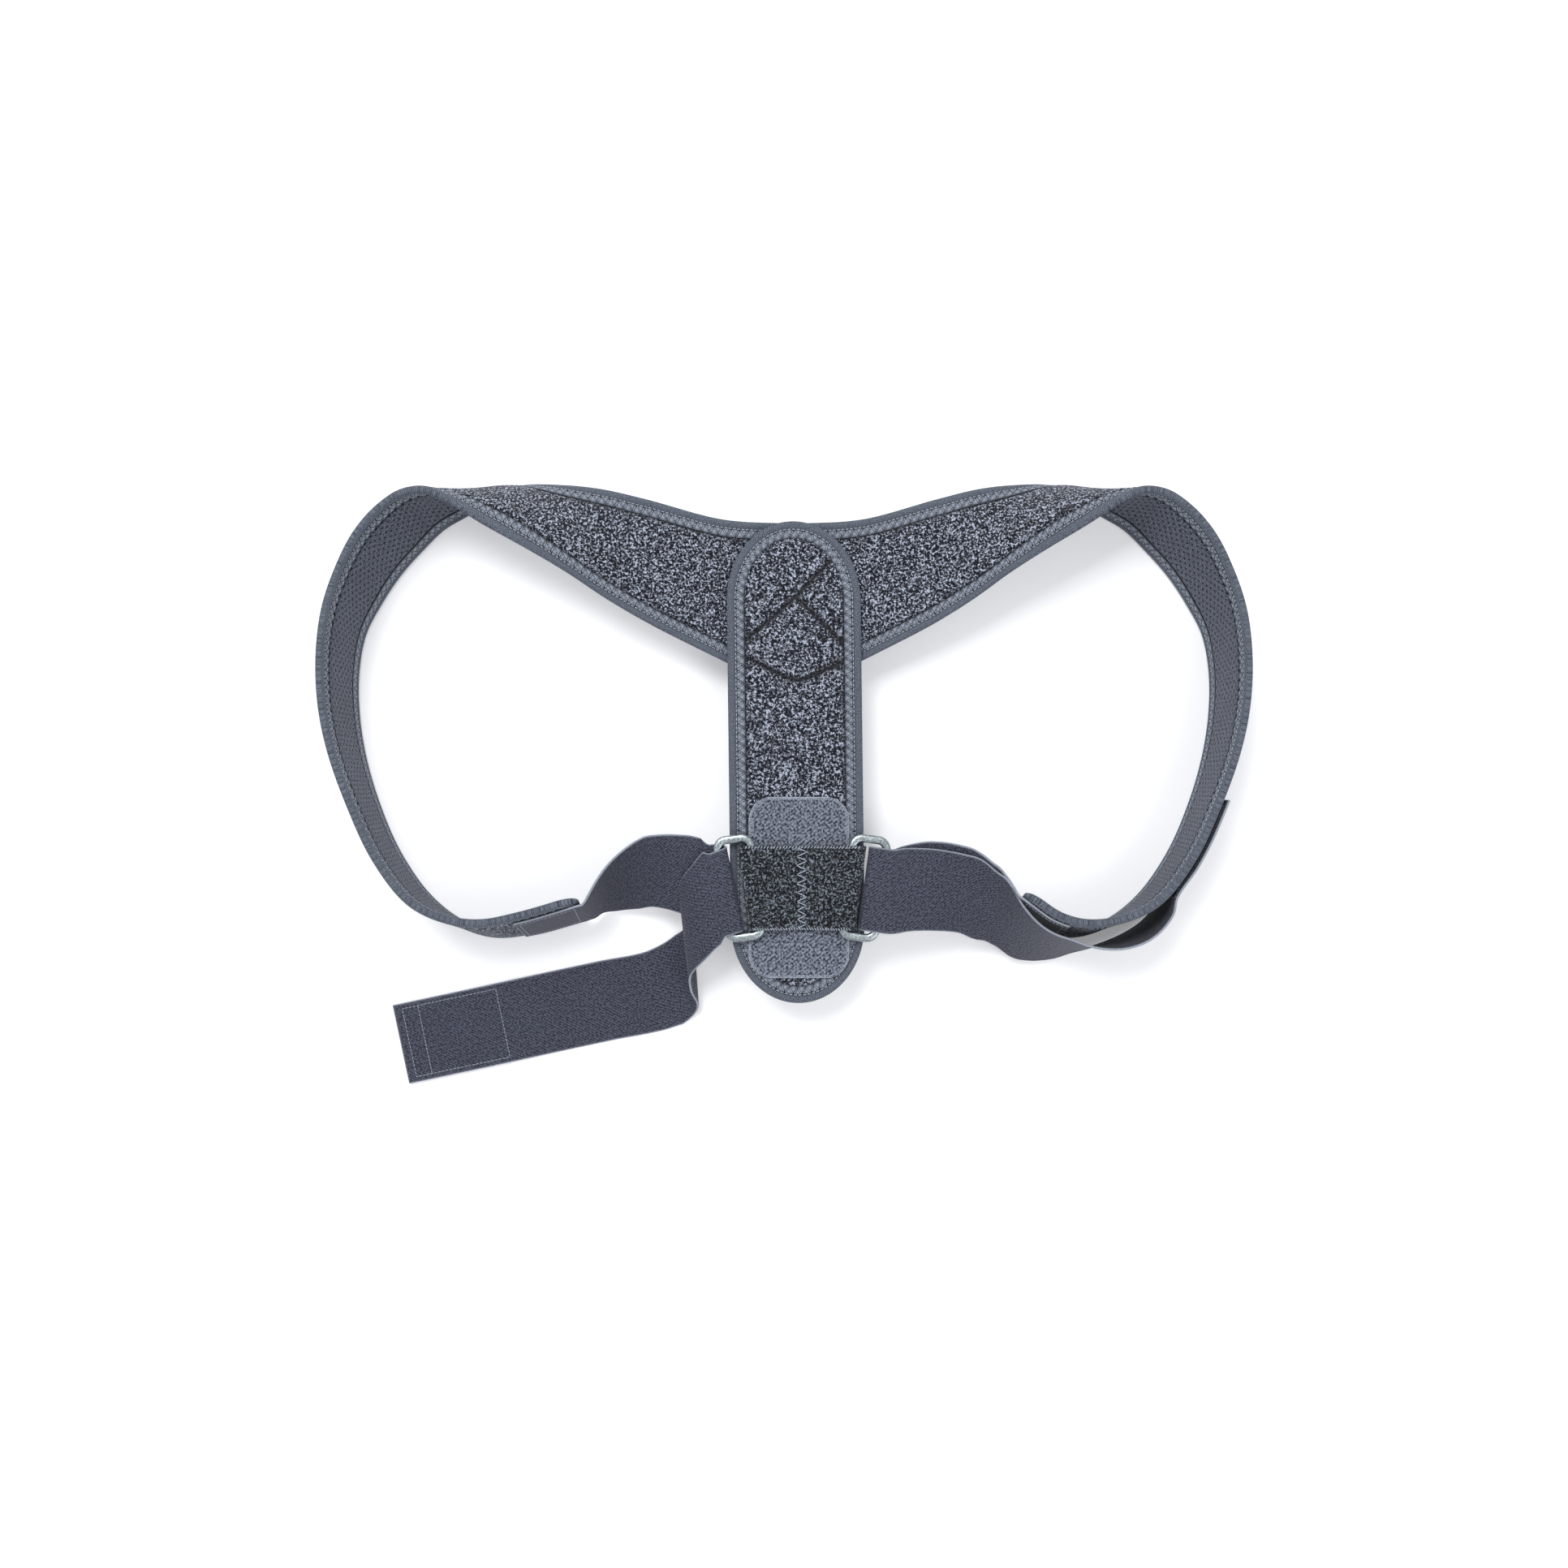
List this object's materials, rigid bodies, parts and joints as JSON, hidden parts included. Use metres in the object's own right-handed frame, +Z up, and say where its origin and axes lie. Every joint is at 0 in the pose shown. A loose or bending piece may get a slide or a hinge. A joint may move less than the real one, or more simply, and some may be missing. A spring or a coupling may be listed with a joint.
{
  "type": "posture corrector",
  "caption": "Padded shoulder brace laid flat: looped shoulder pads joined by a spine strap, with elastic straps that turn through metal rings on a hook-tape tab.",
  "frame": {"origin": "under the middle of the part's bounding box, on the table that it lies on", "axes": "+X towards the right loop as seen from above, +Y towards the shoulders, +Z up from the table"},
  "size_m": [0.5458, 0.3694, 0.0596],
  "materials": {
    "pad_fabric": "brushed loop pile, matte",
    "binding_tape": "smooth knitted tape",
    "hook_tape": "woven nylon hook tape",
    "band_cloth": "dark loop pile, matte",
    "elastic_webbing": "fine twill elastic",
    "ring_metal": "satin"
  },
  "bodies": {
    "root": {"pad_left": "pad_fabric", "pad_right": "pad_fabric", "pad_binding_left": "binding_tape", "pad_binding_right": "binding_tape", "spine_strap": "pad_fabric", "spine_binding": "binding_tape", "hook_tab": "hook_tape", "ring_band": "band_cloth", "ring_left": "ring_metal", "ring_right": "ring_metal", "elastic_left": "elastic_webbing", "elastic_right": "elastic_webbing", "hook_patch_left": "hook_tape", "hook_patch_right": "hook_tape"}
  },
  "joints": []
}
